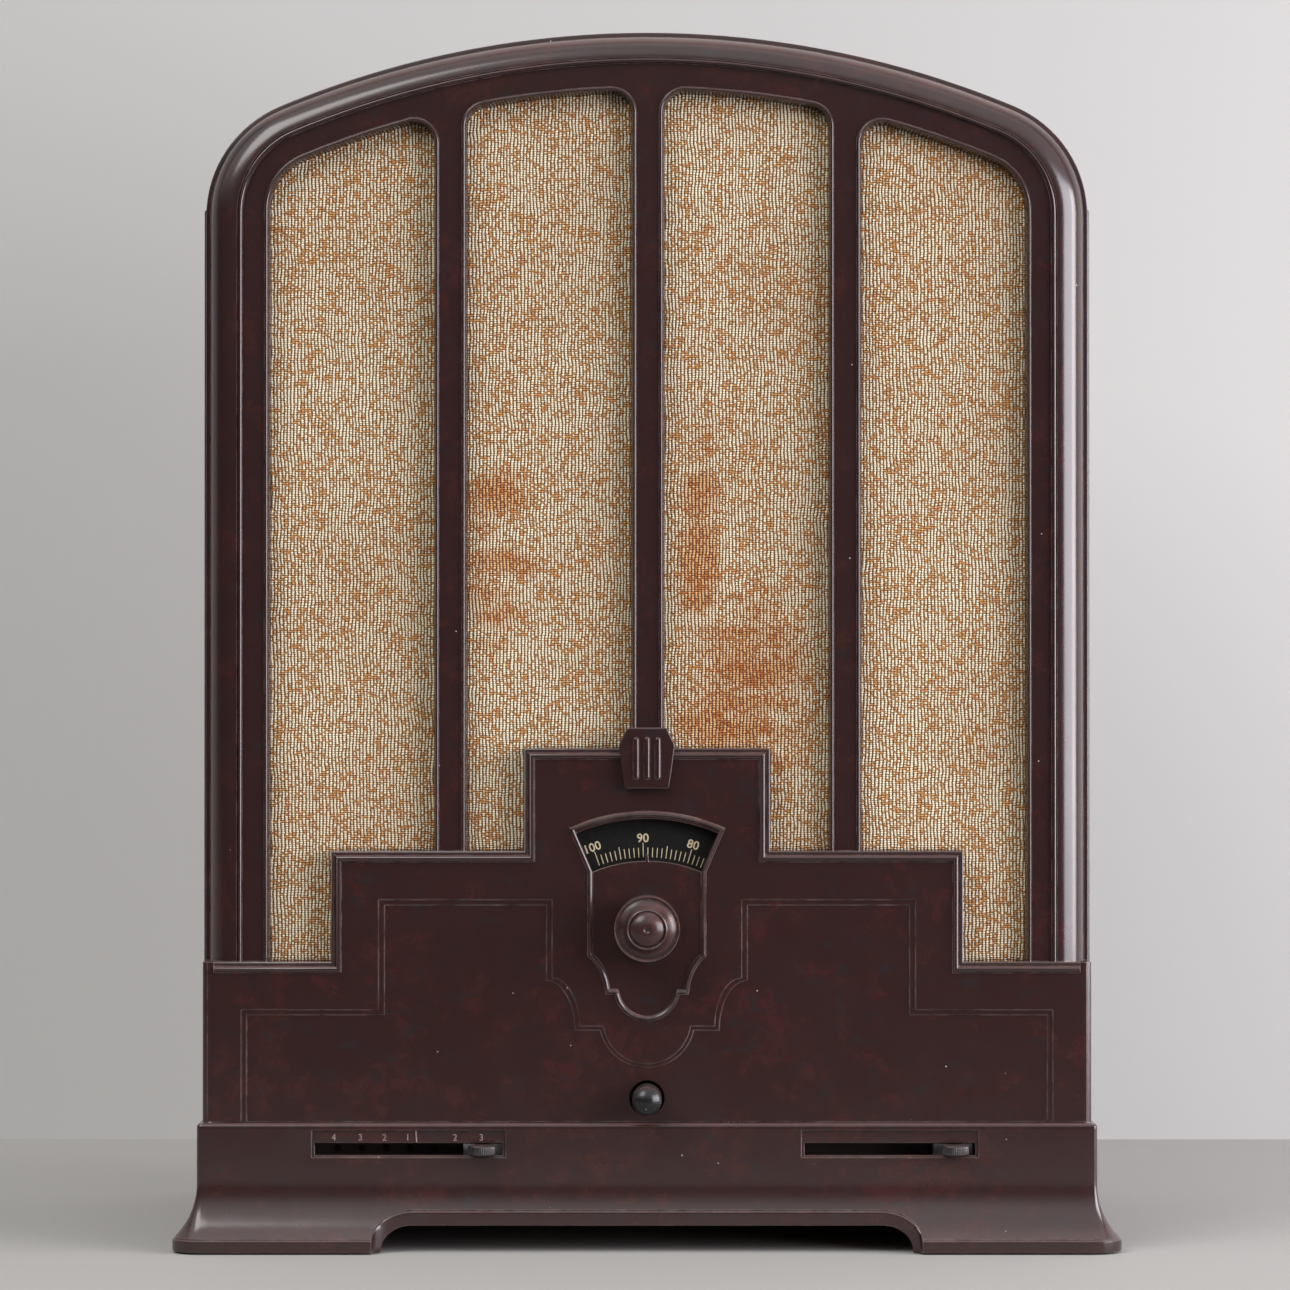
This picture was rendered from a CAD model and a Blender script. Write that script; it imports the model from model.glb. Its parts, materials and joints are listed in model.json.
# %% [markdown]
# # A bakelite table radio, dressed around its CAD model
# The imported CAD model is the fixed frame: every place below is in the same metres, with the
# front facing -Y and Z up. The cells add what the solids leave out: the rolled edges, fine
# beads, woven cloth, printed scale and the mottled finish of moulded bakelite.

# %% Load the frame
import json
import math
from functools import partial

import bmesh
import bpy
import numpy as np
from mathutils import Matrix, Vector
from mathutils.geometry import tessellate_polygon


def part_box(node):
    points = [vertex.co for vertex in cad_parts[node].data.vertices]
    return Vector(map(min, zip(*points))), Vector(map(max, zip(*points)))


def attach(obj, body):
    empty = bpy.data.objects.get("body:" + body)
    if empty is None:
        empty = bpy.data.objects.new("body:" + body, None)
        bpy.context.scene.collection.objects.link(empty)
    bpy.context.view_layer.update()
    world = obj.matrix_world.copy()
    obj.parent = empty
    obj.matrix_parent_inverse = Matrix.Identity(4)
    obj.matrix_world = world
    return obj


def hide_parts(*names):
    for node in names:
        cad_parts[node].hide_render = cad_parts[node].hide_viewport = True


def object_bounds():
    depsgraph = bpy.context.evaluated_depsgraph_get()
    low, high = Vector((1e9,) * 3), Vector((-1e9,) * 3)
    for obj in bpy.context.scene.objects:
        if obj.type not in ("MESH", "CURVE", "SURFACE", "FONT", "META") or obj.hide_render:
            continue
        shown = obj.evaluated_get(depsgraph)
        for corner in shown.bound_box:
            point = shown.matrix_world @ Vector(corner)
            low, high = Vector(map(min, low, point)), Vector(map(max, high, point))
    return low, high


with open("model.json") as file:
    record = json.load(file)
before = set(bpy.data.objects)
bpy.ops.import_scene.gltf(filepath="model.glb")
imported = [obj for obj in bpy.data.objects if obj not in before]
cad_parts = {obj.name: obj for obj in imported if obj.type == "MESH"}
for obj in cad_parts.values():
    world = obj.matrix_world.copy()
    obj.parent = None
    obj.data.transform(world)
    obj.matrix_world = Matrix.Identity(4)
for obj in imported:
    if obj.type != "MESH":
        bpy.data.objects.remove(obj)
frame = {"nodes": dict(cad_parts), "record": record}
NODES = frame["nodes"]
CAD_BOX = [list(corner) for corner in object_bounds()]
print("CAD box", CAD_BOX)

# %% [markdown]
# ## Camera
# The photograph is taken square on from two metres with a long lens, a little below the middle
# of the cabinet. A long lens keeps the sides of the cabinet out of sight, so its distance
# matters more than its angle.

# %% Camera
FOOT_Y = CAD_BOX[0][1]
CAMERA_ASIDE = -0.0008
CAMERA_DISTANCE = 2.0
CAMERA_HEIGHT = 0.2322
CAMERA_TILT = 90.41
FOCAL_PIXELS = 4970.0
IMAGE_PIXELS = 1290.0

camera_data = bpy.data.cameras.new("camera")
camera_data.sensor_width = 36.0
camera_data.lens = FOCAL_PIXELS / IMAGE_PIXELS * camera_data.sensor_width
camera = bpy.data.objects.new("camera", camera_data)
bpy.context.scene.collection.objects.link(camera)
camera.location = (CAMERA_ASIDE, FOOT_Y - CAMERA_DISTANCE, CAMERA_HEIGHT)
camera.rotation_euler = (math.radians(CAMERA_TILT), 0.0, 0.0)
bpy.context.scene.camera = camera
print("camera at", tuple(camera.location), "lens", round(camera_data.lens, 1), "mm")

# %% [markdown]
# ## Measures
# The mouldings were designed in millimetres from the flat front panel backwards, so the cells
# do the same and `place` turns such points into the frame. The main sizes come from the boxes
# of the CAD nodes.

# %% Measures
MM = 0.001
TINY = 1e-6
hood_low, hood_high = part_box("hood")
plinth_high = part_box("plinth")[1]
HOOD_DEPTH = 226.0
PANEL_Y = hood_high.y - HOOD_DEPTH * MM
STRIP_UP = 2.0
HALF_W = hood_high.x / MM - STRIP_UP
TOP_Z = hood_high.z / MM
HOOD_Z = hood_low.z / MM
WALL = 4.5
CROWN_R = 392.0
SHOULDER_R = 49.0
CROWN_Z = TOP_Z - CROWN_R
DIAL_Z = 101.8
KNOB_Z = 131.8
SWITCH_Z = 62.3
PLATE_BACK = 9.3
print("panel at y", round(PANEL_Y, 4), "half width", round(HALF_W, 2), "top", round(TOP_Z, 1))


def place(x, depth, z):
    """Points of the frame, in metres, from millimetres: right, behind the panel, and up."""
    x, depth, z = np.broadcast_arrays(x, depth, z)
    return np.stack([x * MM, PANEL_Y + depth * MM, z * MM], -1).astype(float)


# %% [markdown]
# ## Surfaces from arrays
# Each piece below is a grid of points that two numbers run over. The helpers turn such grids
# into faces, join them where they close, and make sure that all faces point outwards.

# %% Grid faces and meshes
def grid_faces(rows, columns, close_rows=False, close_columns=False):
    """Quads of a grid of points; closing joins the last row or column to the first."""
    i = np.arange(rows if close_rows else rows - 1)[:, None]
    j = np.arange(columns if close_columns else columns - 1)[None, :]
    below, beside = (i + 1) % rows, (j + 1) % columns
    corners = [i * columns + j, below * columns + j, below * columns + beside, i * columns + beside]
    return np.stack(np.broadcast_arrays(*corners), -1).reshape(-1, 4)


def capped(points, close_rows=False):
    """A grid whose columns close to a tube, with a face on each end unless its rows close too."""
    rows, columns = points.shape[:2]
    faces = [grid_faces(rows, columns, close_rows, True)]
    if not close_rows:
        faces += [np.arange(columns)[None, ::-1], (rows - 1) * columns + np.arange(columns)[None]]
    return points, faces


def new_piece(name, parts, body, sharp=32.0, closed=True, merge=TINY):
    """A mesh object from parts, each (points, list of face arrays), that rides on a body."""
    shell = bmesh.new()
    for points, faces in parts:
        part = bpy.data.meshes.new(name)
        part.from_pydata(points.reshape(-1, 3).tolist(), [],
                         [face for group in faces for face in np.asarray(group).tolist()])
        single = bmesh.new()
        single.from_mesh(part)
        bmesh.ops.remove_doubles(single, verts=single.verts, dist=merge)
        if closed:
            bmesh.ops.recalc_face_normals(single, faces=single.faces)
        single.to_mesh(part)
        single.free()
        shell.from_mesh(part)
        bpy.data.meshes.remove(part)
    mesh = bpy.data.meshes.new(name)
    shell.to_mesh(mesh)
    shell.free()
    mesh.shade_smooth()
    mesh.set_sharp_from_angle(angle=math.radians(sharp))
    piece = bpy.data.objects.new(name, mesh)
    flats = piece.modifiers.new("flat_faces_stay_flat", "WEIGHTED_NORMAL")
    flats.keep_sharp = True
    bpy.context.scene.collection.objects.link(piece)
    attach(piece, body)
    print(name, len(mesh.vertices), "points,", len(mesh.polygons), "faces")
    return piece


# %% Mitres and sweeps
def mitres(line, closed=False):
    """Vectors to the left of each point of a plane line, longer at corners, so that lines drawn
    along them stay parallel: the sum of the two edge normals over one plus their product."""
    line = np.asarray(line, float)
    step = np.roll(line, -1, 0) - line
    step /= np.maximum(np.linalg.norm(step, axis=1, keepdims=True), 1e-9)
    after = np.stack([-step[:, 1], step[:, 0]], -1)
    before = np.roll(after, 1, 0)
    if not closed:
        after[-1], before[0] = before[-1], after[0]
    return (before + after) / (1.0 + (before * after).sum(1, keepdims=True))


def sweep(line, profile, closed=False):
    """A closed profile of (distance to the left, depth) carried along a front-view line. The
    point of each row is the line's point plus the distance times its mitre vector."""
    flat = line[:, None] + profile[:, :1] * mitres(line, closed)[:, None]
    return capped(place(flat[..., 0], profile[:, 1], flat[..., 1]), closed)


print("mitre of a square corner", mitres([[0, 0], [1, 0], [1, 1]])[1])


# %% Rims and plates
def turning(loop):
    """Twice the signed area of a loop: positive where it runs against the clock."""
    x, z = np.asarray(loop, float).T
    return float((x * np.roll(z, -1) - np.roll(x, -1) * z).sum())


def rim(loop, front, back, radius=0.0, hole=False):
    """One edge of a plate as rows of (x, depth, z) from front to back: a quarter round of the
    radius, then the wall. An outline runs against the clock and a hole with it."""
    loop = np.asarray(loop, float)
    if (turning(loop) > 0) == hole:
        loop = loop[::-1]
    angle = np.radians([90.0, 60.0, 30.0, 0.0]) if radius else np.zeros(1)
    inset = np.append(radius * (1 - np.cos(angle)), 0.0)[:, None, None]
    depth = np.append(front + radius * (1 - np.sin(angle)), back)[:, None]
    flat = loop[None] + inset * mitres(loop, True)[None]
    return np.stack([flat[..., 0], depth + 0 * flat[..., 0], flat[..., 1]], -1)


def filled(rims, open_rims=()):
    """A plate from its rims: a grid along each closed rim, and triangles between the first rows
    and between the last rows of them all."""
    points = [place(rows[..., 0], rows[..., 1], rows[..., 2]).reshape(-1, 3) for rows in rims]
    starts = np.cumsum([0] + [len(part) for part in points])
    faces = [grid_faces(*rows.shape[:2], False, True) + start
             for number, (rows, start) in enumerate(zip(rims, starts)) if number not in open_rims]
    for row in (0, -1):
        index = np.concatenate([start + row % len(rows) * rows.shape[1] + np.arange(rows.shape[1])
                                for rows, start in zip(rims, starts)])
        flat = [[Vector((x, z, 0.0)) for x, z in rows[row][:, [0, 2]]] for rows in rims]
        faces.append(index[np.array(tessellate_polygon(flat))])
    return np.concatenate(points), faces


def plate(loops, front, back, *edges):
    """A flat plate of an outline and holes, each with its own edge radius."""
    return filled([rim(loop, front, back, radius, number > 0)
                   for number, (loop, radius) in enumerate(zip(loops, edges))])


print("area of a unit square", turning([[0, 0], [1, 0], [1, 1], [0, 1]]) / 2)


# %% Lines of the front
def arc(centre, radius, start, end, count):
    """Points on a circle from one angle to another, in degrees against the clock from +X."""
    angle = np.radians(np.linspace(start, end, count))
    return np.stack([centre[0] + radius * np.cos(angle), centre[1] + radius * np.sin(angle)], -1)


CORNER_POINTS = 17


def arched_line(left, right, low_left, low_right, crown, left_r, right_r, side, top):
    """An arched opening from its low left corner up, over and down: an arc about the crown's
    centre with a rounded corner at each end. Every line at a distance from it has the same
    centres, so only the radii change."""
    left_x, right_x = left + left_r, right - right_r
    left_z = CROWN_Z + math.sqrt((crown - left_r) ** 2 - left_x ** 2)
    right_z = CROWN_Z + math.sqrt((crown - right_r) ** 2 - right_x ** 2)
    a1 = math.degrees(math.atan2(left_z - CROWN_Z, left_x))
    a2 = math.degrees(math.atan2(right_z - CROWN_Z, right_x))
    up = np.stack([np.full(side, left), np.linspace(low_left, left_z, side)], -1)
    down = np.stack([np.full(side, right), np.linspace(right_z, low_right, side)], -1)
    return np.concatenate([up[:-1], arc((left_x, left_z), left_r, 180, a1, CORNER_POINTS)[:-1],
                           arc((0, CROWN_Z), crown, a1, a2, top)[:-1],
                           arc((right_x, right_z), right_r, a2, 0, CORNER_POINTS)[:-1], down])


print("front lines ready")

# %% [markdown]
# ## The moulded hood
# The real hood is one deep moulding. Its front edge is a roll with a fine bead inside it, and
# four tall windows stand in a sunk band, each with a thin raised rim. A roll and a bead are the
# same cross-section all the way round, so they are swept along the outline.

# %% Roll, side and rear edge
ROLL_IN, ROLL_BACK = 11.9, 13.4
ROLL_WIDE, ROLL_DEEP = 9.7, 11.9
BEAD_MID, BEAD_DEPTH = 13.0, 2.0
BEAD_WIDE, BEAD_DEEP = 0.85, 0.95
BEAD_IN = 13.9
BAND_DEPTH = 3.0
STEP_IN = 2.0
SIDE_EXTRA = 2.0
RIDGE_Z = (202.1, 160.3, 115.2)
RIDGE_X = (47.6, 126.3, 176.3)
LEDGE_Z = 117.6


def roll_profile():
    """Cross-section of the shell: inner wall, rear edge, side, a narrow step, a quarter of an
    ellipse for the roll, the groove and the round bead. Its columns are the distance inwards at
    the crown, the depth, and what is added to the distance at the sides, where the roll is wider."""
    turn = np.radians(np.linspace(176, 90, 17))
    roll = np.stack([ROLL_IN + ROLL_WIDE * np.cos(turn), ROLL_BACK - ROLL_DEEP * np.sin(turn)], -1)
    half = np.radians(np.linspace(180, 0, 9))
    bead = np.stack([BEAD_MID + BEAD_WIDE * np.cos(half), BEAD_DEPTH - BEAD_DEEP * np.sin(half)], -1)
    whole = np.concatenate([
        [[WALL, PLATE_BACK], [WALL, HOOD_DEPTH - 1.0], [WALL - 0.8, HOOD_DEPTH],
         [1.0, HOOD_DEPTH], [0.3, HOOD_DEPTH - 0.3], [0.0, HOOD_DEPTH - 1.0], [0.0, 120.0],
         [0.0, 17.5], [0.0, 15.7], [0.12, 15.3], [0.4, 15.15], [1.9, 15.0]], roll,
        [[ROLL_IN + 0.1, 2.6]], bead, [[BEAD_IN, PLATE_BACK]]])
    extra = SIDE_EXTRA * np.clip((whole[:, 0] - STEP_IN) / (ROLL_IN - STEP_IN), 0.0, 1.0)
    extra[:3] = 0.0
    return np.concatenate([whole, extra[:, None]], 1)


def lower_profile():
    """The same shell beside the flat panel: the roll's points fall on a small rounded edge."""
    upper = roll_profile()
    lower = upper.copy()
    front = np.arange(7, len(upper) - 1)
    turn = np.radians(np.linspace(0, 90, len(front)))
    lower[front, 0] = 2.0 * (1 - np.cos(turn)) + 0.02 * np.arange(len(front))
    lower[front, 1] = 2.1 - 2.0 * np.sin(turn)
    lower[-1, :2] = [BEAD_IN, PLATE_BACK]
    lower[:, 2] = 0.0
    return lower


outline = arched_line(-HALF_W, HALF_W, HOOD_Z, HOOD_Z, CROWN_R, SHOULDER_R, SHOULDER_R, 12, 121)
rolled = outline[outline[:, 1] > LEDGE_Z - TINY]
left_ledge, right_ledge = [-HALF_W, LEDGE_Z], [HALF_W, LEDGE_Z]
shell_rows = np.array([outline[0], left_ledge, left_ledge, *rolled, right_ledge, right_ledge, outline[-1]])
print("shell rows", len(shell_rows))

# %% Hood shell
def hood_shell():
    """The shell's point is the outline's point less the distance times the outward normal, with
    the plain profile below the ledge and the rolled one above it."""
    out = mitres(shell_rows)
    out[:3], out[-3:] = (-1.0, 0.0), (1.0, 0.0)
    low = np.zeros((len(shell_rows), 1, 1), bool)
    low[:2] = low[-2:] = True
    profile = np.where(low, lower_profile(), roll_profile())
    inwards = profile[..., :1] + profile[..., 2:] * np.abs(out[:, None, :1])
    flat = shell_rows[:, None] - inwards * out[:, None]
    return capped(place(flat[..., 0], profile[..., 1], flat[..., 1]))


WIN_HALF, WIN_W, BAR_W = 154.7, 68.45, 12.1
WIN_CROWN = CROWN_R - 24.8
WIN_R = (9.0, 9.0, 23.0)
WIN_STEPS = ((2, 1), (1, 0), (0, 1), (1, 2))
RIM_PROFILE = np.array([
    [1.35, PLATE_BACK], [1.35, 2.9], [1.3, 2.5], [1.12, 2.15], [0.9, 1.97], [0.65, 1.92],
    [0.4, 2.0], [0.18, 2.2], [0.05, 2.5], [-0.1, 3.0], [-0.5, 4.4], [-1.0, PLATE_BACK]])


def window_line(number, grow=0.0):
    """The upright sides and arched top of a window, from the ridge's step under its left side to
    the one under its right side. The outermost corners are the roundest."""
    x1 = -WIN_HALF + number * (WIN_W + BAR_W)
    left, right = WIN_STEPS[number]
    return arched_line(x1 - grow, x1 + WIN_W + grow, RIDGE_Z[left], RIDGE_Z[right],
                       WIN_CROWN + grow, WIN_R[left] + grow, WIN_R[right] + grow, 3, 24)


rims = [sweep(window_line(i), RIM_PROFILE) for i in range(4)]
print("window rims", len(rims), "rows each", len(window_line(0)))

# %% Band between the windows
BEAD_OVER, RIM_OVER = 0.3, 0.6


def band():
    """The sunk plate that the windows stand in: one outline that runs round the inside of the
    roll and back along the foot, up and down round each window."""
    upper = outline[outline[:, 1] > RIDGE_Z[2]]
    out = mitres(upper)
    frame_line = upper - (BEAD_IN - BEAD_OVER + SIDE_EXTRA * np.abs(out[:, :1])) * out
    frame_line[[0, -1], 1] = RIDGE_Z[2]
    foot = np.concatenate([window_line(i, RIM_OVER)[::-1] for i in (3, 2, 1, 0)])
    return plate([np.concatenate([frame_line, foot])], BAND_DEPTH, PLATE_BACK, 0.0)


print("band", len(band()[0]), "points")

# %% [markdown]
# ## The lower panel
# Under the windows the panel comes forward and steps down to both sides. The double line on it
# is not engraved: it is two very low steps down, one after the other, so each line is bright
# where its little wall looks at the light. Three flat plates at three depths make it.

# %% Stepped lines of the panel
def mirrored(half):
    """A line from the left side to the middle and on to its mirror image on the right."""
    half = np.asarray(half, float)
    tail = half[::-1] if abs(half[-1, 0]) > 1e-9 else half[-2::-1]
    return np.concatenate([half, tail * [-1, 1]])


ridge_steps = [[-RIDGE_X[i], RIDGE_Z[j]] for i, j in ((2, 2), (1, 2), (1, 1), (0, 1), (0, 0))]
BOWL_Z = 94.1


def recess_line(x1, z1, x2, z2, x3, corner, bowl_r, bowl_from):
    """One of the two step lines: up the side, two steps in, down beside the dial, a hollow
    quarter ellipse, a short shelf and the bowl under the dial."""
    turn = np.radians(np.linspace(90, 0, 13))
    cove = np.stack([x3 + corner[0] * np.cos(turn), corner[2] + corner[1] * np.sin(turn)], -1)
    bowl = arc((0.0, BOWL_Z), bowl_r, bowl_from, 270, 17)
    return mirrored(np.concatenate([[[x1, HOOD_Z], [x1, z1], [x2, z1], [x2, z2], [x3, z2]],
                                    cove, bowl]))


outer_line = recess_line(-165.2, 98.2, -109.3, 143.0, -38.6, (11.0, 19.6, 91.5), 17.9, 188.0)
inner_line = recess_line(-163.0, 96.1, -106.9, 140.8, -40.9, (11.5, 20.3, 89.8), 19.5, 192.7)
print("step lines", len(outer_line), len(inner_line))


DIAL_SPAN = 22.9
DIAL_LOW_R, DIAL_TOP_R = 57.0, 74.0


def dial_opening():
    """The window over the scale: part of a ring about the dial's axis, with a small index tooth
    in the middle of its lower edge."""
    outer = arc((0, DIAL_Z), DIAL_TOP_R, 90 + DIAL_SPAN, 90 - DIAL_SPAN, 41)
    lower = arc((0, DIAL_Z), DIAL_LOW_R, 90 - DIAL_SPAN, 90 + DIAL_SPAN, 41)
    tooth = np.array([[0.75, 158.6], [0.55, 161.4], [-0.55, 161.4], [-0.75, 158.6]])
    return np.concatenate([outer, lower[:20], tooth, lower[21:]])


def circle(centre, radius, count=48):
    """A closed ring of points."""
    return arc(centre, radius, 0, 360, count + 1)[:-1]


# %% Panel plates and ridge
PANEL_STEP, PANEL_UNDER = 0.45, 0.6
PANEL_FOOT = HOOD_Z + 0.3
STEP_EDGE = 0.22
KNOB_HOLE, SWITCH_HOLE = 5.2, 7.0


def on_foot(line):
    """A copy of a line with both its ends on the panel's foot."""
    line = line.copy()
    line[[0, -1], 1] = PANEL_FOOT
    return line


def lower_panel():
    """Three plates: the frame outside the outer line, the narrow strip, and the field inside
    the inner line. Each deeper plate reaches a little under the one in front of it."""
    side = HALF_W - STEP_IN
    top = mirrored([[-side, PANEL_FOOT], [-side, LEDGE_Z], [-RIDGE_X[2], LEDGE_Z], *ridge_steps])
    outer, inner = on_foot(outer_line), on_foot(inner_line)
    strip, field = (on_foot(line + PANEL_UNDER * mitres(line)) for line in (outer, inner))
    return [plate([np.concatenate([top, outer[::-1]]), dial_opening(), circle((0, KNOB_Z), KNOB_HOLE)],
                  0.0, WALL, STEP_EDGE, 0.35, 0.3),
            plate([np.concatenate([strip, inner[::-1]])], PANEL_STEP, WALL, STEP_EDGE),
            plate([field, circle((0, SWITCH_Z), SWITCH_HOLE)], 2 * PANEL_STEP, WALL, 0.0, 0.5)]


RIDGE_PROFILE = np.array([
    [2.5, PLATE_BACK], [2.5, 0.6], [2.4, 0.15], [2.1, -0.15], [1.7, -0.25], [1.35, -0.15],
    [1.05, 0.1], [0.85, 0.1], [0.6, -0.2], [0.3, -0.7], [-0.15, -1.05], [-0.7, -1.2],
    [-1.25, -1.05], [-1.65, -0.65], [-1.85, -0.15], [-1.9, 1.0], [-1.9, WALL], [1.5, PLATE_BACK]])


def ridge():
    """The stepped ridge: a profile with a sharp lip above and a round bead below, mitred at
    every corner."""
    return sweep(mirrored(ridge_steps), RIDGE_PROFILE)


print("panel plates ready")

# %% Dial surround
SURROUND_R, SURROUND_SPAN = 76.2, 23.6


def surround_line():
    """Centre line of the raised bead: over the dial window, down beside the knob, a hollow
    curve, a short shelf, and the lobe below. The hollow curve is a quadratic Bezier."""
    t = np.linspace(0, 1, 13)[:, None]
    top = arc((0, DIAL_Z), SURROUND_R, 90 + SURROUND_SPAN, 90, 21)
    p0, p1, p2 = np.array([[-23.1, 120.4], [-17.0, 115.4], [-16.0, 105.5]])
    hollow = (1 - t) ** 2 * p0 + 2 * t * (1 - t) * p1 + t ** 2 * p2
    lobe = arc((0, 107.0), 12.4, 187.0, 270, 15)
    left = np.concatenate([top[::-1], [[-23.1, 154.4]], hollow, [[-12.6, 105.5]], lobe[1:]])
    return np.concatenate([left, (left * [-1, 1])[-2:0:-1]])


SURROUND_PROFILE = np.array([
    [1.0, 1.0], [1.0, 0.1], [0.9, -0.5], [0.6, -0.95], [0.15, -1.15], [-0.3, -1.05],
    [-0.7, -0.6], [-0.95, 0.1], [-0.95, 1.0]])


def surround():
    """The bead swept round its closed line."""
    return sweep(surround_line(), SURROUND_PROFILE, closed=True)


print("surround line", len(surround_line()), "points")

# %% Side strips and hood
STRIP_Z, STRIP_FRONT, STRIP_ROOT = 427.3, 30.0, -1.0
BOSS_IN, BOSS_R = 9, 6.0
BOSS_DEPTHS = np.array([204.8, 218.8])
BOSS_LEAN = math.radians(12)
HOOD_RISE = 446
BOSS_HEIGHTS = (HOOD_Z + 0.18 * HOOD_RISE, HOOD_Z + 0.63 * HOOD_RISE)


def side_strip(side):
    """A flat raised strip along the side wall with rounded edges, a grid over its section and
    height."""
    section = np.array([[STRIP_ROOT, STRIP_FRONT], [STRIP_UP - 0.9, STRIP_FRONT],
                        [STRIP_UP - 0.25, STRIP_FRONT + 0.3], [STRIP_UP, STRIP_FRONT + 1],
                        [STRIP_UP, HOOD_DEPTH - 2], [STRIP_UP - 0.6, HOOD_DEPTH - 1],
                        [STRIP_ROOT, HOOD_DEPTH - 1]])
    height = np.array([HOOD_Z, STRIP_Z - 1.2, STRIP_Z - 0.5, STRIP_Z])
    draw_in = np.array([0.0, 0.0, 0.4, 1.2])
    out = np.maximum(section[:, 0] - draw_in[:, None], STRIP_ROOT)
    return capped(place(side * (HALF_W + out), section[:, 1], height[:, None]))


def boss(x, z):
    """A round boss for a screw of the back cover, closed at both ends."""
    ring = circle((x, z), BOSS_R, 40)
    return capped(place(ring[:, 0], BOSS_DEPTHS[:, None], ring[:, 1]))


boss_crown = CROWN_R - BOSS_IN
bosses = [(s * boss_crown * math.sin(BOSS_LEAN), CROWN_Z + boss_crown * math.cos(BOSS_LEAN))
          for s in (-1, 1)]
bosses += [(s * (HALF_W - BOSS_IN), height) for s in (-1, 1) for height in BOSS_HEIGHTS]
hood_parts = [hood_shell(), band(), *rims, *lower_panel(), ridge(), surround(),
              side_strip(-1), side_strip(1), *(boss(x, z) for x, z in bosses)]
hood = new_piece("hood_moulding", hood_parts, "cabinet")
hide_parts("hood")

# %% [markdown]
# ## The plinth
# The plinth flares out at the front and the sides into a square lip, and the lip runs up and
# over a low arch between the front feet. Its wall is a grid over the way round and the height,
# where the height range of each column ends at the lip's lower edge.

# %% Flare and lip
FLARE_OUT, FLARE_HIGH = 10.0, 22.0
FLARE_R = (FLARE_OUT ** 2 + FLARE_HIGH ** 2) / (2 * FLARE_OUT)
FLARE_TOP = 27.9
LIP_Z, EDGE_Z = (5.7, 16.9), (0.5, 10.9)
FRONT, REAR = -4.0, 230.0
HALF_P = plinth_high.x / MM - FLARE_OUT


def flare(z):
    """Distance out of the upright wall at a height: a circle that touches the wall at the top
    of the flare, a little less than the lip's reach."""
    drop = np.clip(FLARE_TOP - z, 0.0, FLARE_HIGH)
    return 0.95 * (FLARE_R - np.sqrt(FLARE_R ** 2 - drop ** 2))


def hump(x, low, high, flat, foot):
    """A line that runs low outside the foot, climbs a quarter ellipse and runs high over the
    arch, where it is flat."""
    share = np.clip((np.abs(x) - flat) / (foot - flat), 0.0, 1.0)
    return low + (high - low) * np.sqrt(1 - share ** 2)


print("flare stands out", round(float(flare(LIP_Z[0])), 2), "mm at the lip")

# %% Way round the plinth
FACE_HALF, FACE_Z = 150.0, (34.0, 49.9)
PLAN_CORNER = 2.0
ARCH_X = np.array([94, 95, 96, 97, 98.5, 100, 102, 104, 105.5, 106.7, 107.5, 107.9, 108, 109,
                   110, 111, 111.5, 112.5])


def plinth_path():
    """The way round the plinth in plan: points, the direction in which the flare stands out,
    and the direction away from the inside, which slants at the rear corners. The rear wall is
    upright, so nothing stands out there."""
    turn = np.radians(np.linspace(0, 90, 7))
    near = np.sort([*np.linspace(-178, 178, 60), -FACE_HALF, FACE_HALF, *-ARCH_X, *ARCH_X])
    side = np.stack([np.full(12, -HALF_P), np.linspace(REAR, FRONT + PLAN_CORNER, 12)], -1)
    corner_out = np.stack([-np.cos(turn), -np.sin(turn)], -1)
    corner = [-HALF_P, FRONT] + PLAN_CORNER * (1 + corner_out)
    mirror = np.array([-1, 1])
    points = np.concatenate([side, corner[1:], np.stack([near, np.full(len(near), FRONT)], -1),
                             (corner * mirror)[-2::-1], (side * mirror)[::-1],
                             [[HALF_P, REAR], [-HALF_P, REAR]]])
    out = np.concatenate([np.tile([-1.0, 0.0], (12, 1)), corner_out[1:],
                          np.tile([0.0, -1.0], (len(near), 1)), (corner_out * mirror)[-2::-1],
                          np.tile([1.0, 0.0], (12, 1)), np.zeros((2, 2))])
    away = out.copy()
    away[[0, -1]], away[[-3, -2]] = (-1.0, 1.0), (1.0, 1.0)
    return points, out, away


path, path_out, path_away = plinth_path()
on_front = np.abs(path[:, 1] - FRONT) < TINY
print("plinth path", len(path), "points")


# %% Plinth wall
TOP_ROUND = 1.3


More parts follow.
